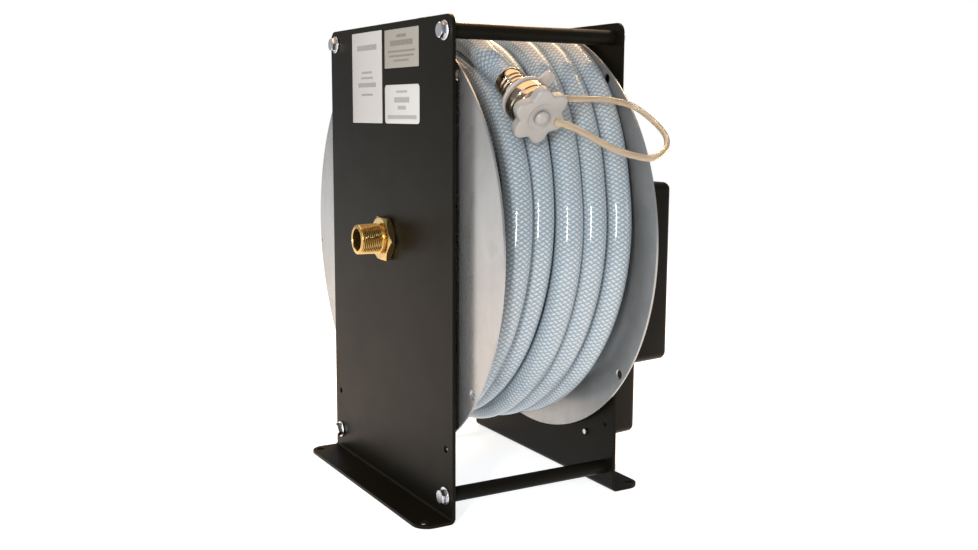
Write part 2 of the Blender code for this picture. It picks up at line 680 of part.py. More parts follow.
def hose_end():
    turned("hose_ferrule", [
        (0.0245, 0.0072), (0.0245, 0.0100), (0.0225, 0.0129), (GAP, 0.0129), (GAP, 0.0072),
    ], "chrome", END, UPRIGHT, closed=True)
    turned("hose_stem", [
        (0.0350, 0.0045), (0.0350, 0.0124), (0.0322, 0.0124), (0.0322, 0.0068),
        (0.0020, 0.0068), (0.0020, 0.0045),
    ], "chrome", END, UPRIGHT, closed=True)
    plug_tether()
    turned("coupling_nut", [
        (0.0462, 0.0139), (0.0462, 0.0180), (0.0440, 0.0195), (0.0300, 0.0195), (0.0281, 0.0175),
        (0.0281, 0.0073), (0.0316, 0.0073), (0.0316, 0.0139),
    ], "chrome", END, UPRIGHT, closed=True, segments=32)
    turned("coupling_gasket", tube_profile(0.0353, 0.0380, 0.0070, 0.0130), "black_rubber", END,
           UPRIGHT, closed=True)
    plug = prism("end_plug", [star_outline(0.0255, 0.0195)], 0.0466, 0.0550, "milky_plastic", END,
                 UPRIGHT)
    thread = prism("plug_thread", [circle(0.0134)], 0.0384, 0.0480, None, END, UPRIGHT)
    boolean(plug, thread, "UNION")
    turned("tether_button", [(0.0588, 0), (0.0588, 0.0030), (0.0575, 0.0058), (0.0553, 0.0064),
                             (0.0553, 0)], "milky_plastic", END, UPRIGHT, segments=16)


# ---- assembly ----
clear_scene()
MATERIALS = make_materials()
PARTS = make_collection("hose_reel")
CUTTERS = make_collection("cutters")
REEL = make_empty("reel", (MID_X, 0, 0))
AXLE = make_empty("axle", (0, 0, AXLE_HEIGHT), REEL)
DRUM = make_empty("drum_axis", (0, 0, AXLE_HEIGHT), REEL)
PINION = make_empty("pinion_axis", (0, *PINION_AT), REEL)
END = make_empty("hose_end_axis", FERRULE_AT, REEL)
END.rotation_euler = END_DIRECTION.to_track_quat("Z", "Y").to_euler()

side_plate("left_side_plate", -1, 0.0132)
side_plate("right_side_plate", 1, 0.0140)
for rod_key, rod_y, rod_z in rod_places():
    tie_rod(f"tie_rod_{rod_key}", rod_y, rod_z)
frame_fasteners()
water_inlet()
drum()
bearing()
drive()
drive_cover()
hose()
hose_end()
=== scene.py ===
"""The looks of a powered hose reel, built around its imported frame.

Lengths are metres in the frame's own coordinates: +X along the axle, -Y at the front, +Z up.
"""
import json
import math

import bmesh
import bpy
import numpy as np
from mathutils import Matrix, Vector


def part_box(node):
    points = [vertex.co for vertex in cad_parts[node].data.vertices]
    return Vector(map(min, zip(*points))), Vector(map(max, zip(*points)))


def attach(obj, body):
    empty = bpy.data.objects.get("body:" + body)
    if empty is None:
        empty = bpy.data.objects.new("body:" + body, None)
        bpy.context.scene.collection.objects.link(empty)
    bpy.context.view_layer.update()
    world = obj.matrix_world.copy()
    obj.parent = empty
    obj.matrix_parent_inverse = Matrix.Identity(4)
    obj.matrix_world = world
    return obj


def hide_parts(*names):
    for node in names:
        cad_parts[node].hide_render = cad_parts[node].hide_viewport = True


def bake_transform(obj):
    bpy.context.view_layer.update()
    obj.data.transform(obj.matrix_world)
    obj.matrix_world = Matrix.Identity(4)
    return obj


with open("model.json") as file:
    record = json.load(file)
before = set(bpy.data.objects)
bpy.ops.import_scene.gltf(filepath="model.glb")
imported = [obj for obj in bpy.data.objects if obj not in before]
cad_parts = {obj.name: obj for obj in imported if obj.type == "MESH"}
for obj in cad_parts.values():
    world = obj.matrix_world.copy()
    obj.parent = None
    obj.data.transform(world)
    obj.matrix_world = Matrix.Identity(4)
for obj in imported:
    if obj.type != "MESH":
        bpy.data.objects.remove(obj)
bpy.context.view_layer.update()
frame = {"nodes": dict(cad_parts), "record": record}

# ---- places taken from the frame ----
MID_X = (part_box("left_side_plate")[0].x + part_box("right_side_plate")[1].x) / 2
AXLE_Z = (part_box("left_disc")[0].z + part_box("left_disc")[1].z) / 2
PLATE_HALF = -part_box("left_side_plate")[0].y
PLATE_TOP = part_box("left_side_plate")[1].z
FOOT_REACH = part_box("right_side_plate")[1].x - MID_X
DISC_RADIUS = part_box("left_disc")[1].z - AXLE_Z
PLATE_T = 0.003
WALL_OUT = 0.0837                       # middle of the reel to a plate's outer face
ROD_Y, LOW_ROD_Z, TOP_ROD_Z = 0.1143, 0.0215, 0.4064

# ---- the hose's route, as in the CAD source ----
HOSE_RADIUS = 0.0117
FERRULE_AT = Vector((MID_X - 0.0316, -0.1260, 0.3675))
END_DIRECTION = Vector((0.047, -0.842, -0.537)).normalized()
LAYER_RADII = (0.0973, 0.1190, 0.1405, 0.1620)
LANES = (
    -0.0400, 0.0000, 0.0300, 0.0615,                 # out along the bare core
    0.0370, 0.0120, -0.0120, -0.0355, -0.0595,       # back, second layer
    -0.0355, -0.0120, 0.0120, 0.0370, 0.0620,        # out, third layer
    0.0385, 0.0150, -0.0080, -0.0320, -0.0595,       # back, the layer that shows
)
LAST_CROSSING = len(LANES) - 2
CLIMBS_AFTER = (2, 7, 12)               # crossings after which the hose climbs a layer
SUNK_TURNS = {16: 0.0075, 9: 0.0050, 6: 0.0025}   # crossing: how far that turn sinks in
LATE_CROSSINGS = {13: 16, 14: 5, 15: 4, 17: 4}    # crossing: degrees past the front
RAISED_TURNS = {13: 0.019, 14: 0.019, 15: 0.018, 16: 0.010}   # loose turns, standing up at the top
CROSSING_HALF_DEG = 75
HOSE_STEP_DEG = 3.5
TAIL_START_DEG, TAIL_LEAVES_DEG = -75, -304
TAIL_RADIUS, TAIL_OVER_X, TAIL_STRAIGHT = 0.1863, -0.0375, 0.008
HOSE_SIDES = 24
BRAID_PITCH, BRAID_CELLS = 0.0039, 11   # a yarn crossing's length, and yarns around the hose
TRACER_AT = 0.94                        # where the tracer line lies, as a share of a turn

TETHER_ROUTE = [
    (-0.0080, -0.1483, 0.3553), (0.0120, -0.1486, 0.3535), (0.0280, -0.1492, 0.3532),
    (0.0470, -0.1509, 0.3530), (0.0685, -0.1583, 0.3482), (0.0790, -0.1720, 0.3370),
    (0.0835, -0.1850, 0.3245), (0.0780, -0.1940, 0.3147), (0.0640, -0.2000, 0.3077),
    (0.0490, -0.2016, 0.3067), (0.0245, -0.1980, 0.3130), (0.0067, -0.1915, 0.3225),
    (-0.0096, -0.1835, 0.3315), (-0.0215, -0.1793, 0.3350),
]

# ---- local axes: where a piece's own X, Y and Z point ----
SIDE = Matrix(((0, 0, 1), (1, 0, 0), (0, 1, 0))).to_4x4()          # to Y, Z, X
SIDE_BACK = Matrix(((0, 0, -1), (-1, 0, 0), (0, 1, 0))).to_4x4()   # to -Y, Z, -X
HOSE_END = Matrix.Translation(FERRULE_AT) @ END_DIRECTION.to_track_quat("Z", "Y").to_matrix().to_4x4()


def at(x, y, z, turn=None):
    """A matrix at a place measured from the reel's middle plane, with local axes from turn."""
    return Matrix.Translation((MID_X + x, y, z)) @ (turn or Matrix.Identity(4))


def smooth(value, low, high):
    """0 below low, 1 above high, and an even rise between."""
    share = min(1.0, max(0.0, (value - low) / (high - low)))
    return share * share * (3 - 2 * share)


# ---- outlines ----
def circle(radius, centre=(0, 0), points=48, turn=0.0):
    angles = [turn + 2 * math.pi * k / points for k in range(points)]
    return [(centre[0] + radius * math.cos(a), centre[1] + radius * math.sin(a)) for a in angles]


def rounded(corners, steps=6, closed=True):
    """An outline through corners (x, y, radius), each rounded by an arc of that radius."""
    outline = []
    count = len(corners)
    for k, (x, y, radius) in enumerate(corners):
        if radius <= 0 or (not closed and k in (0, count - 1)):
            outline.append((x, y))
            continue
        here = Vector((x, y))
        before = (Vector(corners[k - 1][:2]) - here).normalized()
        after = (Vector(corners[(k + 1) % count][:2]) - here).normalized()
        half = before.angle(after) / 2
        centre = here + (before + after).normalized() * (radius / math.sin(half))
        start = here + before * (radius / math.tan(half)) - centre
        end = here + after * (radius / math.tan(half)) - centre
        for step in range(steps + 1):
            spoke = start.slerp(end, step / steps)
            outline.append(tuple(centre + spoke.normalized() * radius))
    return outline


def level_ring(radius, height, points, turn=0.0):
    return [(x, y, height) for x, y in circle(radius, points=points, turn=turn)]


# ---- meshes ----
def shade(mesh, angle_deg=32):
    mesh.shade_smooth()
    mesh.set_sharp_from_angle(angle=math.radians(angle_deg))
    return mesh


def closed_up(mesh, matrix=None):
    """Welds doubled points, turns the faces outwards and puts the mesh in place."""
    shape = bmesh.new()
    shape.from_mesh(mesh)
    bmesh.ops.remove_doubles(shape, verts=shape.verts, dist=2e-6)
    bmesh.ops.dissolve_degenerate(shape, edges=shape.edges, dist=1e-6)
    bmesh.ops.recalc_face_normals(shape, faces=shape.faces)
    shape.to_mesh(mesh)
    shape.free()
    if matrix is not None:
        mesh.transform(matrix)
    return mesh


def grid_mesh(name, rings, wrap=False, capped=False):
    """A skin over rings of points; wrap joins the last ring to the first, capped closes both ends."""
    points = [tuple(p) for ring in rings for p in ring]
    across = len(rings[0])
    faces = []
    last = len(rings) if wrap else len(rings) - 1
    for i in range(last):
        following = (i + 1) % len(rings)
        for j in range(across):
            beside = (j + 1) % across
            faces.append((i * across + j, i * across + beside,
                          following * across + beside, following * across + j))
    if capped:
        faces.append(tuple(range(across))[::-1])
        faces.append(tuple((len(rings) - 1) * across + j for j in range(across)))
    mesh = bpy.data.meshes.new(name)
    mesh.from_pydata(points, [], faces)
    return mesh


def turned(name, profile, matrix, segments=64, closed=False):
    """A profile of (along, radius, rounding) points turned about local Z."""
    line = rounded(profile, steps=3, closed=closed)
    rings = [level_ring(radius, along, segments) for along, radius in line]
    return shade(closed_up(grid_mesh(name, rings, wrap=closed), matrix))


def flat(name, outer, holes, low, high, edge=0.0003):
    """A flat outline with holes, thickened along local Z, with rounded edges."""
    curve = bpy.data.curves.new(name, "CURVE")
    curve.dimensions = "2D"
    curve.fill_mode = "BOTH"
    curve.extrude = (high - low) / 2 - edge
    curve.bevel_depth = edge
    curve.bevel_resolution = 1
    curve.offset = -edge
    for outline in [outer] + [hole[::-1] for hole in holes]:
        spline = curve.splines.new("POLY")
        spline.points.add(len(outline) - 1)
        for point, (x, y) in zip(spline.points, outline):
            point.co = (x, y, 0, 1)
        spline.use_cyclic_u = True
    guide = bpy.data.objects.new(name, curve)
    bpy.context.scene.collection.objects.link(guide)
    bpy.context.view_layer.update()
    graph = bpy.context.evaluated_depsgraph_get()
    mesh = bpy.data.meshes.new_from_object(guide.evaluated_get(graph))
    bpy.data.objects.remove(guide)
    mesh.materials.clear()
    return closed_up(mesh, Matrix.Translation((0, 0, (low + high) / 2)))


def joined(name, meshes):
    """Several meshes as one."""
    shape = bmesh.new()
    for mesh in meshes:
        shape.from_mesh(mesh)
        bpy.data.meshes.remove(mesh)
    made = bpy.data.meshes.new(name)
    shape.to_mesh(made)
    shape.free()
    return made


def fused(name, meshes):
    """Several closed meshes as one closed mesh."""
    things = [bpy.data.objects.new(f"{name}_{k}", mesh) for k, mesh in enumerate(meshes)]
    for thing in things:
        bpy.context.scene.collection.objects.link(thing)
    for tool in things[1:]:
        step = things[0].modifiers.new(tool.name, "BOOLEAN")
        step.operation, step.solver, step.object = "UNION", "EXACT", tool
    bpy.context.view_layer.update()
    graph = bpy.context.evaluated_depsgraph_get()
    made = bpy.data.meshes.new_from_object(things[0].evaluated_get(graph))
    for thing in things:
        bpy.data.objects.remove(thing)
    made.name = name
    return made


def hexagonal(name, across_flats, low, high, matrix, chamfer_low=False, turn=0.0, bore=0.0):
    """A hexagon along local Z with turned chamfers at its ends."""
    steps = 48
    flat_radius = across_flats / 2
    inner = flat_radius * 0.965
    slope = math.tan(math.radians(30))

    def ring(height, cone_from=None, reach=None):
        points = []
        for k in range(steps):
            angle = 2 * math.pi * k / steps
            to_flat = (angle + math.pi / 6) % (math.pi / 3) - math.pi / 6
            corner = flat_radius / math.cos(math.pi / 6 - abs(to_flat))
            radius = corner if reach is None else min(reach, corner)
            down = 0 if cone_from is None else max(0.0, radius - inner) * slope * cone_from
            points.append((radius * math.cos(angle + turn), radius * math.sin(angle + turn), height + down))
        return points

    rings = []
    if bore:
        rings.append(level_ring(bore, low, steps, turn))
    rings.append(ring(low, reach=inner) if chamfer_low else ring(low))
    if chamfer_low:
        rings.append(ring(low, cone_from=1))
    rings.append(ring(high, cone_from=-1))
    rings.append(ring(high, reach=inner))
    if bore:
        rings.append([(x, y, high) for x, y, _ in rings[0]])
    mesh = grid_mesh(name, rings, wrap=bool(bore), capped=not bore)
    return shade(closed_up(mesh, matrix), 12)


def tube(name, centres, radius, sides, outward, squash=1.0):
    """A tube with its length and its turn about the middle as UV; outward gives each ring's up."""
    count = len(centres)
    rings, lengths = [], [0.0]
    for k in range(1, count):
        lengths.append(lengths[-1] + (centres[k] - centres[k - 1]).length)
    for k, centre in enumerate(centres):
        ahead = (centres[min(k + 1, count - 1)] - centres[max(k - 1, 0)]).normalized()
        up = outward(centre)
        up = (up - ahead * up.dot(ahead)).normalized()
        beside = ahead.cross(up)
        rings.append([centre + (up * math.cos(2 * math.pi * j / sides) * squash
                                + beside * math.sin(2 * math.pi * j / sides)) * radius
                      for j in range(sides)])
    mesh = grid_mesh(name, rings, capped=True)
    layer = mesh.uv_layers.new(name="length_and_turn").data
    for i in range(count - 1):
        for j in range(sides):
            start = (i * sides + j) * 4
            for offset, (ring, side) in enumerate(((i, j), (i, j + 1), (i + 1, j + 1), (i + 1, j))):
                layer[start + offset].uv = (lengths[ring], side / sides)
    mesh.flip_normals()
    return shade(mesh, 50)


# ---- materials ----
class Finish:
    """A node material, with short ways to add the nodes that its finish needs."""

    def __init__(self, name, color, roughness, metallic=0.0, **inputs):
        self.material = bpy.data.materials.new(name)
        self.material.use_nodes = True
        self.tree = self.material.node_tree
        self.shader = self.tree.nodes["Principled BSDF"]
        self.material.diffuse_color = (*color, 1)
        self.set("Base Color", (*color, 1))
        self.set("Roughness", roughness)
        self.set("Metallic", metallic)
        for key, value in inputs.items():
            self.set(key.replace("_", " "), value)
        self.color = color

    def set(self, socket, value):
        self.shader.inputs[socket].default_value = value

    def node(self, kind, **settings):
        made = self.tree.nodes.new(kind)
        for key, value in settings.items():
            setattr(made, key, value)
        return made

    def link(self, output, socket):
        self.tree.links.new(output, socket)

    def math(self, operation, *values):
        made = self.node("ShaderNodeMath", operation=operation)
        for socket, value in zip(made.inputs, values):
            if isinstance(value, (int, float)):
                socket.default_value = value
            else:
                self.link(value, socket)
        return made.outputs[0]

    def place(self, scale=(1, 1, 1)):
        coordinates = self.node("ShaderNodeTexCoord").outputs["Object"]
        mapping = self.node("ShaderNodeMapping")
        mapping.inputs["Scale"].default_value = scale
        self.link(coordinates, mapping.inputs["Vector"])
        return mapping.outputs[0]

    def noise(self, scale, detail=3.0, stretch=(1, 1, 1)):
        made = self.node("ShaderNodeTexNoise")
        made.inputs["Scale"].default_value = scale
        made.inputs["Detail"].default_value = detail
        made.inputs["Roughness"].default_value = 0.55
        self.link(self.place(stretch), made.inputs["Vector"])
        return made.outputs["Fac"]

    def cells(self, scale):
        made = self.node("ShaderNodeTexVoronoi", feature="F1")
        made.inputs["Scale"].default_value = scale
        self.link(self.place(), made.inputs["Vector"])
        return made

    def ramp(self, factor, *stops):
        """Stops are (position, color) pairs."""
        made = self.node("ShaderNodeValToRGB")
        while len(made.color_ramp.elements) < len(stops):
            made.color_ramp.elements.new(0.5)
        for element, (position, color) in zip(made.color_ramp.elements, stops):
            element.position = position
            element.color = (*color, 1)
        self.link(factor, made.inputs[0])
        return made.outputs[0]

    def vary_color(self, factor, darkest=0.85, lightest=1.12, tint=(1, 1, 1)):
        low = tuple(c * darkest for c in self.color)
        high = tuple(min(1.0, c * lightest * t) for c, t in zip(self.color, tint))
        self.link(self.ramp(factor, (0.25, low), (0.75, high)), self.shader.inputs["Base Color"])
        return self

    def vary_roughness(self, factor, low, high):
        spread = self.node("ShaderNodeMapRange")
        spread.inputs["To Min"].default_value = low
        spread.inputs["To Max"].default_value = high
        self.link(factor, spread.inputs["Value"])
        self.link(spread.outputs[0], self.shader.inputs["Roughness"])
        return self

    def bump(self, height, strength, distance):
        made = self.node("ShaderNodeBump")
        made.inputs["Strength"].default_value = strength
        made.inputs["Distance"].default_value = distance
        self.link(height, made.inputs["Height"])
        self.link(made.outputs[0], self.shader.inputs["Normal"])
        return self


def powder_coat():
    finish = Finish("black_powder_coat", (0.0075, 0.0066, 0.0044), 0.38, Specular_IOR_Level=0.06)
    finish.vary_color(finish.noise(7, 4), 0.85, 1.2)
    finish.vary_roughness(finish.noise(26, 4), 0.30, 0.44)
    return finish.bump(finish.noise(850, 2), 0.18, 0.0003).material


def galvanised():
    finish = Finish("galvanised_steel", (0.41, 0.415, 0.415), 0.25, 0.70)
    spangle = finish.cells(75).outputs["Color"]
    grey = finish.node("ShaderNodeRGBToBW")
    finish.link(spangle, grey.inputs[0])
    streaks = finish.noise(60, 5, (1, 1, 0.18))
    mixed = finish.math("ADD", finish.math("MULTIPLY", grey.outputs[0], 0.3),
                        finish.math("MULTIPLY", streaks, 0.7))
    finish.vary_color(mixed, 0.86, 1.08, (1.0, 1.0, 1.01))
    finish.vary_roughness(mixed, 0.20, 0.30)
    return finish.bump(streaks, 0.012, 0.0003).material


def metal(name, color, roughness, spread=0.08, bump=0.04):
    finish = Finish(name, color, roughness, 1.0)
    finish.vary_color(finish.noise(56, 4), 0.88, 1.08)
    finish.vary_roughness(finish.noise(160, 3), max(0.03, roughness - spread), roughness + spread)
    return finish.bump(finish.noise(800, 2), bump, 0.0002).material


def plastic(name, color, roughness, bump=0.12, **inputs):
    finish = Finish(name, color, roughness, 0.0, **inputs)
    finish.vary_color(finish.noise(60, 3), 0.93, 1.05)
    finish.vary_roughness(finish.noise(140, 3), roughness - 0.06, roughness + 0.08)
    return finish.bump(finish.noise(1400, 2), bump, 0.0002).material


def braided_hose():
    """White yarns crossing both ways around the hose, under a clear, glossy wall; the gaps between yarns
    are darker, partly the clear wall's own tone and partly painted shade in the weave's hollows.
    """
    finish = Finish("braided_hose", (0.50, 0.57, 0.62), 0.55, 0.0, Coat_Weight=1.0,
                    Coat_Roughness=0.09, Coat_IOR=1.5, Specular_IOR_Level=0.12,
                    Subsurface_Weight=0.35, Subsurface_Scale=0.004,
                    Subsurface_Radius=(0.9, 1.0, 1.1))
    uv = finish.node("ShaderNodeUVMap", uv_map="length_and_turn").outputs[0]
    parts = finish.node("ShaderNodeSeparateXYZ")
    finish.link(uv, parts.inputs[0])
    along = finish.math("DIVIDE", parts.outputs[0], BRAID_PITCH)
    around = finish.math("MULTIPLY", parts.outputs[1], BRAID_CELLS)
    first = finish.math("ADD", around, along)
    second = finish.math("SUBTRACT", around, along)
    first_floor, second_floor = finish.math("FLOOR", first), finish.math("FLOOR", second)
    first_hump = finish.math("SINE", finish.math("MULTIPLY", finish.math("FRACT", first), math.pi))
    second_hump = finish.math("SINE", finish.math("MULTIPLY", finish.math("FRACT", second), math.pi))
    odd = finish.math("PINGPONG", finish.math("ADD", first_floor, second_floor), 1.0)
    over_first = finish.math("MULTIPLY", finish.math("POWER", first_hump, 2.0),
                             finish.math("POWER", second_hump, 0.40))
    over_second = finish.math("MULTIPLY", finish.math("POWER", second_hump, 2.0),
                              finish.math("POWER", first_hump, 0.40))
    yarn = finish.math("ADD", finish.math("MULTIPLY", over_first, odd),
                       finish.math("MULTIPLY", over_second, finish.math("SUBTRACT", 1.0, odd)))
    wander = finish.math("MULTIPLY", finish.math("SUBTRACT", finish.noise(9, 3), 0.5), 0.35)
    shown = finish.math("ADD", yarn, wander)
    # the ramp's dark end paints shade into the gaps between yarns, over the clear wall's own blue-grey tone
    color = finish.ramp(shown, (0.05, (0.245, 0.315, 0.37)), (0.45, (0.335, 0.40, 0.45)),
                        (0.92, (0.54, 0.59, 0.63)))
    # a faint broken tracer line down one side
    aside = finish.math("ABSOLUTE", finish.math("SUBTRACT", parts.outputs[1], TRACER_AT))
    on_line = finish.math("LESS_THAN", aside, 0.018)
    broken = finish.node("ShaderNodeTexNoise")
    broken.inputs["Scale"].default_value = 260
    broken.inputs["Detail"].default_value = 1
    finish.link(uv, broken.inputs["Vector"])
    dashes = finish.math("GREATER_THAN", broken.outputs["Fac"], 0.5)
    share = finish.math("MULTIPLY", finish.math("MULTIPLY", on_line, dashes), 0.42)
    mix = finish.node("ShaderNodeMix", data_type="RGBA")
    finish.link(share, mix.inputs["Factor"])
    finish.link(color, mix.inputs[6])
    mix.inputs[7].default_value = (0.16, 0.30, 0.48, 1)
    finish.link(mix.outputs[2], finish.shader.inputs["Base Color"])
    return finish.bump(yarn, 0.45, 0.0006).material


def tether_plastic():
    """Clear plastic, milky where the ring is thickest, amber on the strap: partly the plastic's own slight
    tint, partly a painted warm highlight.
    """
    # the amber base colour is partly the plastic's slight tint and partly a painted warm highlight
    finish = Finish("tether_plastic", (0.80, 0.62, 0.40), 0.22, 0.0, Transmission_Weight=0.55,
                    IOR=1.45, Coat_Weight=0.4, Coat_Roughness=0.12)
    ring = finish.node("ShaderNodeAttribute", attribute_name="on_ring").outputs["Fac"]
    cloudy = finish.math("ADD", ring, finish.math("MULTIPLY", finish.noise(70, 3), 0.25))
    # the amber end of this ramp, on the strap, is partly the plastic's tint and partly a painted warm
    # highlight; the milky grey end is the thick ring's own colour
    finish.link(finish.ramp(cloudy, (0.05, (0.70, 0.56, 0.38)), (0.35, (0.66, 0.57, 0.45)),
                            (0.95, (0.52, 0.485, 0.46))), finish.shader.inputs["Base Color"])
    finish.link(finish.math("SUBTRACT", 0.62, finish.math("MULTIPLY", ring, 0.5)),
                finish.shader.inputs["Transmission Weight"])
    return finish.bump(finish.noise(900, 2), 0.04, 0.0002).material


def label_face(name, color, bars):
    """A printed sticker: blank, with a few plain bars in place of print. Bars are (low, high, reach)."""
    finish = Finish(name, color, 0.42, 0.0, Coat_Weight=0.3, Coat_Roughness=0.25)
    uv = finish.node("ShaderNodeUVMap", uv_map="face").outputs[0]
    parts = finish.node("ShaderNodeSeparateXYZ")
    finish.link(uv, parts.inputs[0])
    from_middle = finish.math("ABSOLUTE", finish.math("SUBTRACT", parts.outputs[0], 0.5))
    printed = None
    for low, high, reach in bars:
        inside = finish.math("MULTIPLY", finish.math("GREATER_THAN", parts.outputs[1], low),
                             finish.math("LESS_THAN", parts.outputs[1], high))
        bar = finish.math("MULTIPLY", inside, finish.math("LESS_THAN", from_middle, reach))
        printed = bar if printed is None else finish.math("MAXIMUM", printed, bar)
    printed = finish.math("MULTIPLY", printed, finish.math("ADD", finish.noise(1500, 1), 0.05))
    ink = tuple(c * 0.25 for c in color)
    finish.link(finish.ramp(printed, (0.0, color), (1.0, ink)), finish.shader.inputs["Base Color"])
    return finish.bump(finish.noise(300, 2), 0.05, 0.0002).material


def make_materials():
    return {
        "black_powder_coat": powder_coat(),
        "galvanised_steel": galvanised(),
        "zinc_plate": metal("zinc_plate", (0.70, 0.72, 0.76), 0.22),
        "brass": metal("brass", (0.60, 0.42, 0.16), 0.26, bump=0.05),
        "bronze": metal("bronze", (0.50, 0.33, 0.17), 0.42, bump=0.15),
        # the chrome's warm brown, darkened colour is a painted reflection of brown surroundings; bare
        # chrome is a neutral silver
        "chrome": metal("chrome", (0.48, 0.40, 0.31), 0.15, spread=0.03, bump=0.003),
        "machined_steel": metal("machined_steel", (0.52, 0.52, 0.53), 0.30),
        "cast_aluminium": metal("cast_aluminium", (0.60, 0.61, 0.62), 0.50, bump=0.30),
        "black_plastic": plastic("black_plastic", (0.022, 0.022, 0.022), 0.45, bump=0.3),
        "milky_plastic": plastic("milky_plastic", (0.34, 0.33, 0.32), 0.36, bump=0.05,
                                 Coat_Weight=0.25, Coat_Roughness=0.22),
        "tether_plastic": tether_plastic(),
        "black_rubber": plastic("black_rubber", (0.018, 0.018, 0.018), 0.68, bump=0.3),
        "braided_hose": braided_hose(),
    }


def piece(name, mesh, slot, body="root", replaces=(), material=None):
    """A finished piece, moving with a body, in a record slot's finish or in a material of its own."""
    made = bpy.data.objects.new(name, mesh)
    bpy.context.scene.collection.objects.link(made)
    mesh.materials.clear()
    mesh.materials.append(material or MATERIALS[slot])
    if body:
        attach(made, body)
    if replaces:
        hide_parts(*replaces)
    return made


# ---- camera, light and floor ----
def make_camera():
    data = bpy.data.cameras.new("camera")
    data.sensor_width = 36.0
    data.lens = 40.47
    camera = bpy.data.objects.new("camera", data)
    bpy.context.scene.collection.objects.link(camera)
    right = Vector((0.8671, -0.4981, 0.0048)).normalized()
    forward = Vector((0.4935, 0.8576, -0.1447)).normalized()
    up = right.cross(forward).normalized()
    right = forward.cross(up)
    turn = Matrix((right, up, -forward)).transposed()
    camera.matrix_world = Matrix.Translation((MID_X - 0.4974, -0.9049, 0.3405)) @ turn.to_4x4()
    bpy.context.scene.camera = camera


def area_light(name, direction, distance, width, height, power, color, along=None):
    """A rectangular light aimed at the reel; along says where its height points, if not upwards."""
    data = bpy.data.lights.new(name, "AREA")
    data.shape = "RECTANGLE"
    data.size, data.size_y = width, height
    data.energy = power
    data.color = color
    light = bpy.data.objects.new(name, data)
    bpy.context.scene.collection.objects.link(light)
    target = Vector((MID_X, 0, 0.24))
    toward = Vector(direction).normalized()
    light.location = target + toward * distance
    light.rotation_euler = toward.to_track_quat("Z", "Y").to_euler()
    if along:
        length = (Vector(along) - toward * toward.dot(Vector(along))).normalized()
        light.rotation_euler = Matrix((length.cross(toward), length, toward)).transposed().to_euler()


def make_studio():
    scene = bpy.context.scene
    scene.view_settings.view_transform = "Standard"
    world = bpy.data.worlds.new("studio")
    scene.world = world
    world.use_nodes = True
    nodes, links = world.node_tree.nodes, world.node_tree.links
    around_it = nodes["Background"]
    around_it.inputs["Color"].default_value = (0.93, 0.97, 1.0, 1)
    around_it.inputs["Strength"].default_value = 0.30
    backdrop = nodes.new("ShaderNodeBackground")
    backdrop.inputs["Color"].default_value = (1, 1, 1, 1)
    path, mix = nodes.new("ShaderNodeLightPath"), nodes.new("ShaderNodeMixShader")
    links.new(path.outputs["Is Camera Ray"], mix.inputs[0])
    links.new(around_it.outputs[0], mix.inputs[1])
    links.new(backdrop.outputs[0], mix.inputs[2])
    links.new(mix.outputs[0], nodes["World Output"].inputs["Surface"])

    area_light("flash", (-0.66, -0.72, 0.20), 1.7, 0.12, 0.46, 12, (1.0, 0.99, 0.97))
    area_light("fill", (-0.7, -0.6, 0.6), 1.9, 1.2, 1.2, 5, (0.90, 0.96, 1.0))
    for number, aside in enumerate((0.44, 0.60)):
        area_light(f"warm_tube_{number + 1}", (aside, 0.28, 0.78), 1.1, 0.022, 1.5, 3.2,
                   (1.0, 0.68, 0.38), along=(0, 1, 0))
    area_light("warm_back", (0.45, 0.75, 0.55), 1.4, 0.4, 0.3, 8, (1.0, 0.62, 0.30))

    area_light("warm_overhead", (0.05, 0.35, 0.95), 1.4, 1.6, 1.6, 20, (1.0, 0.60, 0.32))
    area_light("white_card", (-0.50, 0.86, -0.02), 1.5, 2.0, 1.6, 1.8, (1.0, 1.0, 1.0))
    bpy.data.objects["white_card"].visible_camera = False

    half = 6.0
    mesh = bpy.data.meshes.new("floor")
    mesh.from_pydata([(-half, -half, 0), (half, -half, 0), (half, half, 0), (-half, half, 0)], [],
                     [(0, 1, 2, 3)])
    floor = bpy.data.objects.new("floor", mesh)
    scene.collection.objects.link(floor)
    floor.location.z = -0.0005
    mesh.materials.append(Finish("floor", (0.72, 0.72, 0.72), 0.9, Emission_Color=(1, 1, 1, 1),
                                 Emission_Strength=0.80).material)


# ---- the hose ----
def around(angle_deg, radius, x):
    """A point about the axle; the angle is 0 at the front and 90 at the top."""
    angle = math.radians(angle_deg)
    return Vector((MID_X + x, -radius * math.cos(angle), AXLE_Z + radius * math.sin(angle)))


def wound_point(turned_deg):
    """The hose's middle after it has turned that far round the drum from its outlet at the top."""
    x, radius = LANES[0], LAYER_RADII[0]
    for crossing, (lane, following) in enumerate(zip(LANES, LANES[1:])):
        centre = 90 + 360 * crossing + LATE_CROSSINGS.get(crossing, 0)
        x += (following - lane) * smooth(turned_deg, centre - CROSSING_HALF_DEG, centre + CROSSING_HALF_DEG)
    for layer, after in enumerate(CLIMBS_AFTER):
        centre = 90 + 360 * after + 180
        rise = LAYER_RADII[layer + 1] - LAYER_RADII[layer]
        radius += rise * smooth(turned_deg, centre - 55, centre + 55)
    for crossing, depth in SUNK_TURNS.items():
        centre = 90 + 360 * crossing
        radius -= depth * smooth(turned_deg, centre - 80, centre + 20) * (
            1 - smooth(turned_deg, centre + 70, centre + 150))
    for crossing, height in RAISED_TURNS.items():
        centre = 90 + 360 * crossing
        radius += height * smooth(turned_deg, centre - 170, centre - 110) * (
            1 - smooth(turned_deg, centre - 66, centre - 14))
    return around(90 - turned_deg, radius, x)


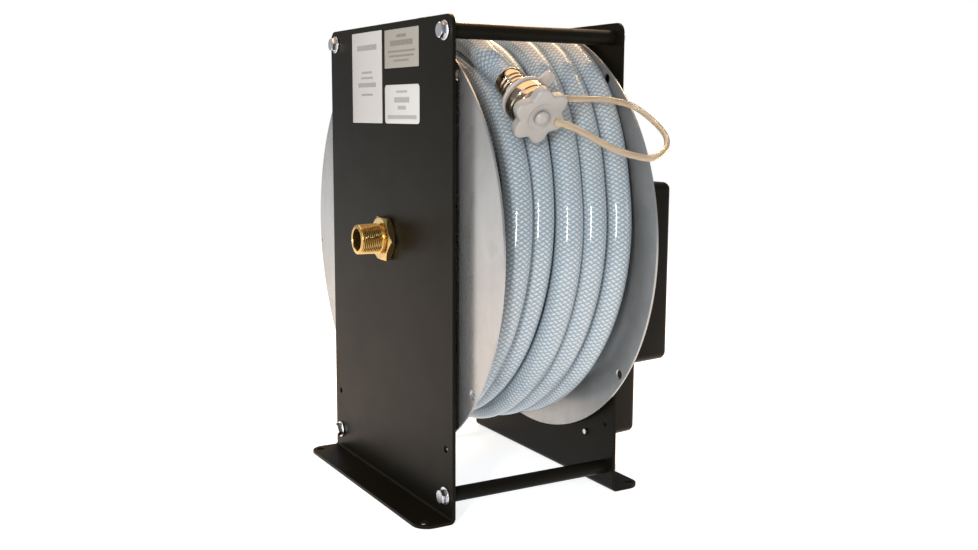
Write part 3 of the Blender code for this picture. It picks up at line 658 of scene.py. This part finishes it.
def hose_route():
    """(points, share of each point that stays with the frame when the drum turns)."""
    points, held = [], []
    turned_deg, last = 0.0, 90 + 360 * LAST_CROSSING - TAIL_START_DEG
    while turned_deg < last:
        points.append(wound_point(turned_deg))
        held.append(0.0)
        turned_deg += HOSE_STEP_DEG
    tail_from = len(points)
    angle = TAIL_START_DEG
    while angle >= TAIL_LEAVES_DEG:
        climb, across = smooth(-angle, 150, 215), smooth(-angle, 215, 290)
        radius = LAYER_RADII[-1] + (TAIL_RADIUS - LAYER_RADII[-1]) * climb
        settle = 1 - smooth(-angle, 75, 110)
        lane = LANES[-1] + (wound_point(last).x - MID_X - LANES[-1]) * settle
        points.append(around(angle, radius, lane + (TAIL_OVER_X - LANES[-1]) * across))
        angle -= HOSE_STEP_DEG
    leaving, heading = points[-1], (points[-1] - points[-2]).normalized()
    straight_from = FERRULE_AT - END_DIRECTION * TAIL_STRAIGHT
    reach = (straight_from - leaving).length
    steps = 6
    for k in range(1, steps + 1):
        share = k / steps
        start_pull = leaving + heading * reach * share
        end_pull = straight_from - END_DIRECTION * reach * (1 - share)
        points.append(start_pull.lerp(end_pull, smooth(share, 0, 1)))
    points.append(FERRULE_AT.copy())
    tail = [0.0]
    for k in range(tail_from, len(points) - 1):
        tail.append(tail[-1] + (points[k + 1] - points[k]).length)
    held += [min(1.0, length / (tail[-1] - 0.020)) for length in tail]
    return points, held


def hose():
    points, held = hose_route()

    def outward(point):
        return Vector((0, point.y, point.z - AXLE_Z))

    mesh = tube("hose", points, HOSE_RADIUS, HOSE_SIDES, outward)
    made = piece("hose", mesh, "braided_hose", body=None,
                 replaces=("hose_winding", "hose_side_turns", "hose_tail"))
    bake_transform(made)
    length = sum((b - a).length for a, b in zip(points, points[1:]))
    print("hose length", round(length, 3))
    return made, points


# ---- the hose end ----
def ferrule():
    grooves = [(0.0245, 0.0072, 0), (0.0245, 0.0105, 0.0004), (0.0232, 0.0129, 0.0010)]
    for z in (0.0195, 0.0150, 0.0105):
        grooves += [(z, 0.0129, 0.0006), (z - 0.0008, 0.0119, 0.0004),
                    (z - 0.0016, 0.0119, 0.0004), (z - 0.0024, 0.0129, 0.0006)]
    grooves += [(0.0004, 0.0129, 0.0006), (0.0004, 0.0116, 0.0002), (0.0030, 0.0072, 0)]
    return piece("hose_ferrule_crimped", turned("hose_ferrule_crimped", grooves, HOSE_END, closed=True),
                 "chrome", replaces=("hose_ferrule",))


def stem():
    return piece("hose_stem_barbed", turned("hose_stem_barbed", [
        (0.0350, 0.0045, 0.0002), (0.0350, 0.0124, 0.0003), (0.0322, 0.0124, 0.0003),
        (0.0322, 0.0068, 0.0008), (0.0020, 0.0068, 0.0002), (0.0020, 0.0045, 0.0002),
    ], HOSE_END, closed=True), "chrome", replaces=("hose_stem",))


def coupling_nut():
    profile = [
        (0.0462, 0.0139, 0.0003), (0.0462, 0.0168, 0.0006), (0.0446, 0.0193, 0.0016),
        (0.0408, 0.0195, 0.0008), (0.0398, 0.0188, 0.0005), (0.0386, 0.0188, 0.0005),
        (0.0376, 0.0195, 0.0008), (0.0305, 0.0195, 0.0022), (0.0281, 0.0168, 0.0010),
        (0.0281, 0.0073, 0.0002), (0.0316, 0.0073, 0.0002), (0.0316, 0.0139, 0.0002),
    ]
    thread_turns, depth = 4, 0.0007
    for k in range(thread_turns):
        z = 0.0385 + 0.0018 * k
        profile += [(z, 0.0139, 0), (z + 0.0009, 0.0139 + depth, 0)]
    mesh = turned("coupling_nut_polished", profile, HOSE_END, segments=96, closed=True)
    return piece("coupling_nut_polished", mesh, "chrome", "coupling", ("coupling_nut",))


STAR_TURN, STAR_POINTS = math.radians(-17), 96


def star_ring(height, inset):
    """One outline of the star plug, moved inwards."""
    lobes, tip, valley = 6, 0.0255, 0.0195
    points = []
    for k in range(STAR_POINTS):
        angle = 2 * math.pi * k / STAR_POINTS
        wave = (1 + math.cos(lobes * (angle - STAR_TURN))) / 2
        radius = valley + (tip - valley) * wave ** 0.8 - inset
        points.append((radius * math.cos(angle), radius * math.sin(angle), height))
    return points


def end_plug():
    """The star-shaped plug: six soft lobes, a shallow dish in its face, and its thread."""
    low, high, soft, steps = 0.0466, 0.0550, 0.0020, 6

    rings = [level_ring(0.0134, low, STAR_POINTS)]
    for k in range(steps):
        angle = math.pi / 2 * k / (steps - 1)
        rings.append(star_ring(low + soft * (1 - math.cos(angle)), soft * (1 - math.sin(angle))))
    for k in range(steps):
        angle = math.pi / 2 * k / (steps - 1)
        rings.append(star_ring(high - soft * (1 - math.sin(angle)), soft * (1 - math.cos(angle))))
    for radius, deep in ((0.0135, 0), (0.0126, 0.0001), (0.0114, 0.0007), (0.0102, 0.0009),
                         (0.0070, 0.0010), (0.0010, 0.0010)):
        rings.append(level_ring(radius, high - deep, STAR_POINTS))
    body = grid_mesh("end_plug_star", rings, capped=True)
    closed_up(body, HOSE_END)
    thread = threaded("plug_thread", 0.0384, 0.0470, 0.0134, 0.0122, 0.0022, HOSE_END, 64)
    mesh = shade(fused("end_plug_star", [body, thread]), 40)
    return piece("end_plug_star", mesh, "milky_plastic", "plug", ("end_plug",))


def tether_button():
    return piece("tether_button_domed", turned("tether_button_domed", [
        (0.0590, 0, 0), (0.0588, 0.0030, 0.0015), (0.0577, 0.0056, 0.0008), (0.0566, 0.0064, 0.0004),
        (0.0553, 0.0064, 0.0003), (0.0553, 0, 0),
    ], HOSE_END, segments=48), "milky_plastic", "tether_end", ("tether_button",))


def catmull(points, steps):
    """A smooth curve through points."""
    line = []
    for k in range(len(points) - 1):
        before, start = points[max(k - 1, 0)], points[k]
        end, after = points[k + 1], points[min(k + 2, len(points) - 1)]
        for step in range(steps):
            t = step / steps
            line.append(0.5 * (2 * start + (end - before) * t
                               + (2 * before - 5 * start + 4 * end - after) * t ** 2
                               + (3 * start - before - 3 * end + after) * t ** 3))
    return line + [points[-1]]


def plug_tether():
    low, high = 0.0248, 0.0278
    route = [Vector((MID_X + x, y, z)) for x, y, z in TETHER_ROUTE]
    ring = turned("tether_ring", [(high, 0.0073, 0.0003), (high, 0.0200, 0.0013),
                                  (low, 0.0200, 0.0013), (low, 0.0073, 0.0003)], HOSE_END, closed=True)
    start = HOSE_END.inverted() @ route[0]
    strap_at = math.atan2(start.y, start.x)
    meshes = [ring]
    for name, angle, reach, half_width in (
        ("strap_tab", strap_at, 0.0245, 0.0026), ("pull_tab", math.radians(50), 0.0300, 0.0055),
    ):
        tip = min(half_width * 0.9, 0.0040)
        outline = rounded([(0.0150, -half_width * 1.3, 0), (reach, -half_width, tip),
                           (reach, half_width, tip), (0.0150, half_width * 1.3, 0)])
        tab = flat(name, outline, [], low, high, 0.0006)
        tab.transform(HOSE_END @ Matrix.Rotation(angle, 4, "Z"))
        meshes.append(tab)
    line = catmull(route, 8)

    def outward(point):
        return point - Vector((MID_X, -0.06, 0.35))

    strap = tube("strap", line, 0.0028, 16, outward, 0.85)
    meshes.append(strap)
    mesh = shade(fused("plug_tether_moulded", meshes), 40)
    made = piece("plug_tether_moulded", mesh, "milky_plastic", body=None, replaces=("plug_tether",),
                 material=MATERIALS["tether_plastic"])
    to_end = HOSE_END.inverted()
    on_ring = []
    for vertex in made.data.vertices:
        x, y, z = to_end @ vertex.co
        on_ring.append(1 - smooth(math.hypot(x, y), 0.026, 0.034) if z < 0.032 else 0.0)
    made.data.attributes.new("on_ring", "FLOAT", "POINT").data.foreach_set("value", on_ring)
    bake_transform(made)
    return made


def threaded(name, low, high, crest, root, pitch, matrix, segments=64):
    """A solid screw thread along local Z, plain at its ends."""
    rings = []
    steps_a_turn = 8
    count = max(2, int((high - low) / pitch * steps_a_turn))
    for i in range(count + 1):
        z = low + (high - low) * i / count
        fade = min(1.0, min(i, count - i) / steps_a_turn)
        ring = []
        for k in range(segments):
            share = (z / pitch - k / segments) % 1.0
            tooth = 1 - abs(2 * share - 1)
            radius = root + (crest - root) * (1 - fade + fade * tooth)
            ring.append((radius * math.cos(2 * math.pi * k / segments),
                         radius * math.sin(2 * math.pi * k / segments), z))
        rings.append(ring)
    return closed_up(grid_mesh(name, rings, capped=True), matrix)


# ---- the bent plates ----
FOOT_EDGE, BEND_INNER, BEND_LENGTH = 0.0289, 0.0020, 0.0055
BEND_MIDDLE = BEND_INNER + PLATE_T / 2


def bent(name, side, outline, wall_holes, foot_holes):
    """A plate cut flat, then bent: a foot, a rounded bend and an upright wall.

    Flat, its length runs from the foot's outer edge up to the top of the wall.
    """
    to_flat = FOOT_EDGE + BEND_LENGTH - BEND_INNER - PLATE_T
    flat_top = PLATE_TOP + to_flat
    holes = [circle(r, (y, z + to_flat), 24) for y, z, r in wall_holes]
    holes += [circle(r, (y, FOOT_REACH - abs(x)), 24) for y, x, r in foot_holes]
    mesh = flat(name, outline(flat_top), holes, -PLATE_T / 2, PLATE_T / 2, 0.00035)
    shape = bmesh.new()
    shape.from_mesh(mesh)
    cuts = [FOOT_EDGE - 0.0006] + [FOOT_EDGE + BEND_LENGTH * k / 8 for k in range(9)]
    for cut in cuts + [FOOT_EDGE + BEND_LENGTH + 0.0006]:
        bmesh.ops.bisect_plane(shape, geom=shape.verts[:] + shape.edges[:] + shape.faces[:],
                               plane_co=(0, cut, 0), plane_no=(0, 1, 0), dist=1e-6)
    centre_x, centre_z = FOOT_REACH - FOOT_EDGE, BEND_INNER + PLATE_T
    for vertex in shape.verts:
        y, along, out = vertex.co
        if along <= FOOT_EDGE:
            x, z = FOOT_REACH - along, PLATE_T / 2 + out
        elif along >= FOOT_EDGE + BEND_LENGTH:
            x, z = centre_x - BEND_MIDDLE + out, centre_z + along - FOOT_EDGE - BEND_LENGTH
        else:
            turn = (along - FOOT_EDGE) / BEND_LENGTH * math.pi / 2
            reach = BEND_MIDDLE - out
            x, z = centre_x - reach * math.sin(turn), centre_z - reach * math.cos(turn)
        vertex.co = (MID_X + side * x, y, z)
    bmesh.ops.recalc_face_normals(shape, faces=shape.faces)
    shape.to_mesh(mesh)
    shape.free()
    return shade(mesh, 14)


def side_plates():
    def outline(top):
        half, foot_round, top_round = PLATE_HALF, 0.014, 0.009
        return rounded([(-half, 0, foot_round), (half, 0, foot_round), (half, top, top_round),
                        (-half, top, top_round)], 8)

    shared = [(sy * ROD_Y, z, 0.0036) for sy in (-1, 1) for z in (TOP_ROD_Z, LOW_ROD_Z)]
    shared += [(sy * ROD_Y, 0.062, 0.0030) for sy in (-1, 1)]
    feet = [(sy * 0.117, 0.106, 0.0040) for sy in (-1, 1)]
    drive = [(0, AXLE_Z + 0.025), (0, AXLE_Z - 0.025), (-0.093, 0.165), (-0.069, 0.189),
             (-0.085, 0.047), (-0.102, 0.102), (0.066, 0.200)]
    piece("left_plate", bent("left_plate", -1, outline, shared + [(0, AXLE_Z, 0.0132)], feet),
          "black_powder_coat", replaces=("left_side_plate",))
    piece("right_plate", bent("right_plate", 1, outline, shared + [(0, AXLE_Z, 0.0140)]
                              + [(y, z, 0.0032) for y, z in drive], feet),
          "black_powder_coat", replaces=("right_side_plate",))


# ---- bolts, washers and rods ----
ROD_PLACES = {f"{end}_{level}": (sy * ROD_Y, z) for end, sy in (("front", -1), ("back", 1))
              for level, z in (("bottom", LOW_ROD_Z), ("top", TOP_ROD_Z))}


def bolt(name, across_flats, head, shank_radius, shank, matrix, turn):
    """A hex head on its chamfered shank; the head stands on local Z = 0."""
    top = hexagonal(name, across_flats, 0, head, Matrix.Identity(4), turn=turn)
    rod = turned(f"{name}_shank", [(-0.0001, 0, 0), (-0.0001, shank_radius, 0),
                                   (0.0005 - shank, shank_radius, 0.0002),
                                   (-shank, shank_radius - 0.0005, 0.0001), (-shank, 0, 0)],
                 Matrix.Identity(4), segments=20)
    mesh = joined(name, [top, rod])
    mesh.transform(matrix)
    return shade(mesh, 14)


def fasteners():
    face, washer_t, gap = WALL_OUT, 0.0014, 0.00015
    for side, name, turn in ((-1, "left", SIDE_BACK), (1, "right", SIDE)):
        for number, (key, (y, z)) in enumerate(ROD_PLACES.items()):
            here = at(side * (face + gap), y, z, turn)
            mesh = turned(f"{name}_flat_washer_{key}", [
                (washer_t, 0.0036, 0.0002), (washer_t, 0.0079, 0.0004), (0, 0.0079, 0.0003),
                (0, 0.0036, 0.0002)], here, segments=40, closed=True)
            piece(f"{name}_flat_washer_{key}", mesh, "zinc_plate",
                  replaces=(f"{name}_washer_{key}",))
            head = at(side * (face + washer_t + 2 * gap), y, z, turn)
            mesh = bolt(f"{name}_hex_bolt_{key}", 0.0111, 0.0043, 0.0031, 0.0180, head,
                        0.35 + 0.27 * number)
            piece(f"{name}_hex_bolt_{key}", mesh, "zinc_plate", replaces=(f"{name}_bolt_{key}",))
    for key, (y, z) in ROD_PLACES.items():
        reach, radius = WALL_OUT - PLATE_T - gap, 0.00635
        mesh = turned(f"round_rod_{key}", [(reach, 0, 0), (reach, radius, 0.0004),
                                           (-reach, radius, 0.0004), (-reach, 0, 0)],
                      at(0, y, z, SIDE), segments=48)
        piece(f"round_rod_{key}", mesh, "black_powder_coat", replaces=(f"tie_rod_{key}",))


# ---- the drum ----
def disc(name, low, hub_hole, node, small_hole=None):
    """A drum disc: the hub's hole and screws, four holes near the rim, one small hole if any."""
    holes = [circle(hub_hole, points=48)]
    for k in range(4):
        angle = math.radians(51 + 90 * k)
        holes.append(circle(0.0042, (-0.183 * math.cos(angle), 0.183 * math.sin(angle)), 24))
    holes += [circle(0.0024, (side * 0.026, 0), 20) for side in (-1, 1)]
    if small_hole:
        holes.append(circle(0.0012, small_hole, 14))
    mesh = flat(name, circle(DISC_RADIUS, points=192), holes, low, low + 0.002, 0.0004)
    mesh.transform(at(0, 0, AXLE_Z, SIDE))
    return piece(name, shade(mesh, 14), "galvanised_steel", "drum", (node,))


# ---- the water inlet ----
def water_inlet():
    """The brass fitting: a tapered pipe thread, a chamfered hexagon and the bore."""
    mouth, hex_low, hex_high = -0.1134, -0.0910, -0.0839
    pitch, crest, depth = 0.001814, 0.0138, 0.0015
    along_x = at(0, 0, AXLE_Z, SIDE)
    rings, steps_a_turn, segments = [], 8, 72
    start, stop = mouth + 0.0006, hex_low - 0.0020
    count = int((stop - start) / pitch * steps_a_turn)
    for i in range(count + 1):
        x = start + (stop - start) * i / count
        ring = []
        for k in range(segments):
            share = (x / pitch + k / segments) % 1.0
            tooth = min(1.0, 1.1 * (1 - abs(2 * share - 1)))
            fade = min(1.0, i / steps_a_turn, (count - i) / steps_a_turn)
            radius = crest - depth * (1 - tooth) * (0.35 + 0.65 * fade) - 0.0005 * (stop - x) / 0.02
            ring.append((radius * math.cos(2 * math.pi * k / segments),
                         radius * math.sin(2 * math.pi * k / segments), x))
        rings.append(ring)

    def plain(radius, x):
        return level_ring(radius, x, segments)

    rings = ([plain(0.0100, -0.0785), plain(0.0100, mouth + 0.0006), plain(0.0104, mouth),
              plain(0.0112, mouth)] + rings
             + [plain(0.0121, hex_low - 0.0016), plain(0.0120, hex_low - 0.0004),
                plain(0.0120, hex_low + 0.001), plain(0.0126, hex_low + 0.002),
                plain(0.0126, -0.0785)])
    body = shade(closed_up(grid_mesh("inlet_body", rings, wrap=True), along_x), 30)
    hexagon = hexagonal("inlet_hex", 0.0381, hex_low, hex_high, along_x, chamfer_low=True,
                        turn=math.radians(3.3), bore=0.0121)
    return piece("inlet_fitting_threaded", joined("inlet_fitting_threaded", [body, hexagon]), "brass",
                 replaces=("inlet_fitting",))


# ---- the drive's cover ----
def drive_cover():
    base, top = WALL_OUT + 0.0003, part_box("drive_cover")[1].x - MID_X
    lean, rim, wall, fillet = 0.003, 0.004, 0.0018, 0.009
    corners = [(-0.076, 0.032), (-0.006, 0.032), (-0.006, 0.1135), (0.052, 0.1135),
               (0.052, 0.2825), (-0.122, 0.2825), (-0.122, 0.1135), (-0.076, 0.1135)]

    def outline(inset):
        """The cover's outline moved inwards, with the same number of points each time."""
        line = []
        count = len(corners)
        for k, (y, z) in enumerate(corners):
            y0, z0 = corners[k - 1]
            y1, z1 = corners[(k + 1) % count]
            incoming = Vector((y - y0, z - z0)).normalized()
            outgoing = Vector((y1 - y, z1 - z)).normalized()
            left_in, left_out = Vector((-incoming.y, incoming.x)), Vector((-outgoing.y, outgoing.x))
            moved = Vector((y, z)) + (left_in + left_out) * inset
            convex = incoming.x * outgoing.y - incoming.y * outgoing.x > 0
            line.append((moved.x, moved.y, max(0.0006, fillet - inset if convex else fillet + inset)))
        return rounded(line, 8)

    outer = [(0.0, base), (lean - 0.0005, top - rim)]
    for k in range(1, 6):
        angle = math.pi / 2 * k / 5
        outer.append((lean + rim * (1 - math.cos(angle)), top - rim * (1 - math.sin(angle))))
    inner = [(inset + wall, x - wall if x > base + 0.001 else x) for inset, x in outer][::-1]
    rings = [[(y, z, x) for y, z in outline(inset)] for inset, x in outer]
    across = len(rings[0])
    inside = [[(y, z, x) for y, z in outline(inset)] for inset, x in inner]
    mesh = bpy.data.meshes.new("drive_cover_moulded")
    points = [p for ring in rings + inside for p in ring]
    faces = []
    count = len(rings) + len(inside)
    for i in range(count):
        following = (i + 1) % count
        if i == len(rings) - 1:
            continue
        for j in range(across):
            beside = (j + 1) % across
            faces.append((i * across + j, i * across + beside,
                          following * across + beside, following * across + j))
    faces.append(tuple((len(rings) - 1) * across + j for j in range(across)))
    faces.append(tuple(len(rings) * across + j for j in range(across))[::-1])
    mesh.from_pydata(points, [], faces)
    closed_up(mesh, at(0, 0, 0, SIDE))
    return piece("drive_cover_moulded", shade(mesh, 30), "black_powder_coat",
                 replaces=("drive_cover",))


# ---- blank stickers on the left plate ----
def stickers():
    thickness, proud = 0.00012, 0.00002
    for name, y_low, y_high, z_low, z_high, color, corner, bars in (
        ("tall_label", 0.0070, 0.0740, 0.3320, 0.4140, (0.50, 0.50, 0.50), 0.0008,
         ((0.80, 0.86, 0.33), (0.545, 0.57, 0.17), (0.485, 0.51, 0.20), (0.395, 0.445, 0.30),
          (0.30, 0.325, 0.19))),
        ("upper_label", -0.0670, 0.0010, 0.3800, 0.4130, (0.33, 0.315, 0.28), 0.0008,
         ((0.78, 0.86, 0.14), (0.57, 0.71, 0.33), (0.40, 0.45, 0.40), (0.28, 0.33, 0.37),
          (0.16, 0.21, 0.22))),
        ("lower_label", -0.0680, 0.0010, 0.3320, 0.3655, (0.58, 0.59, 0.59), 0.0035,
         ((0.79, 0.85, 0.16), (0.54, 0.68, 0.22), (0.36, 0.46, 0.12), (0.12, 0.22, 0.42))),
    ):
        middle = ((y_low + y_high) / 2, (z_low + z_high) / 2)
        half_y, half_z = (y_high - y_low) / 2, (z_high - z_low) / 2
        outline = rounded([(-half_y, -half_z, corner), (half_y, -half_z, corner),
                           (half_y, half_z, corner), (-half_y, half_z, corner)], 5)
        mesh = flat(name, outline, [], proud, proud + thickness, 0.00003)
        layer = mesh.uv_layers.new(name="face").data
        for loop in mesh.loops:
            x, y, _ = mesh.vertices[loop.vertex_index].co
            layer[loop.index].uv = (x / (2 * half_y) + 0.5, y / (2 * half_z) + 0.5)
        mesh.transform(at(-WALL_OUT, middle[0], middle[1], SIDE_BACK))
        piece(name, shade(mesh, 30), None, material=label_face(name, color, bars))


MATERIALS = make_materials()
make_camera()
make_studio()
the_hose, hose_points = hose()
on_hose = [ferrule(), stem(), coupling_nut(), end_plug(), tether_button(), plug_tether(),
           frame["nodes"]["coupling_gasket"]]

side_plates()
fasteners()
disc("left_disc_round", -0.0733, 0.0145, "left_disc", (0.187, -0.021))
disc("right_disc_round", 0.0738, 0.0105, "right_disc")
water_inlet()
drive_cover()
stickers()
slot_of = {part["node"]: part["material_slot"] for part in frame["record"]["subparts"]}
for node, thing in frame["nodes"].items():
    thing.data.materials.clear()
    thing.data.materials.append(MATERIALS[slot_of[node]])
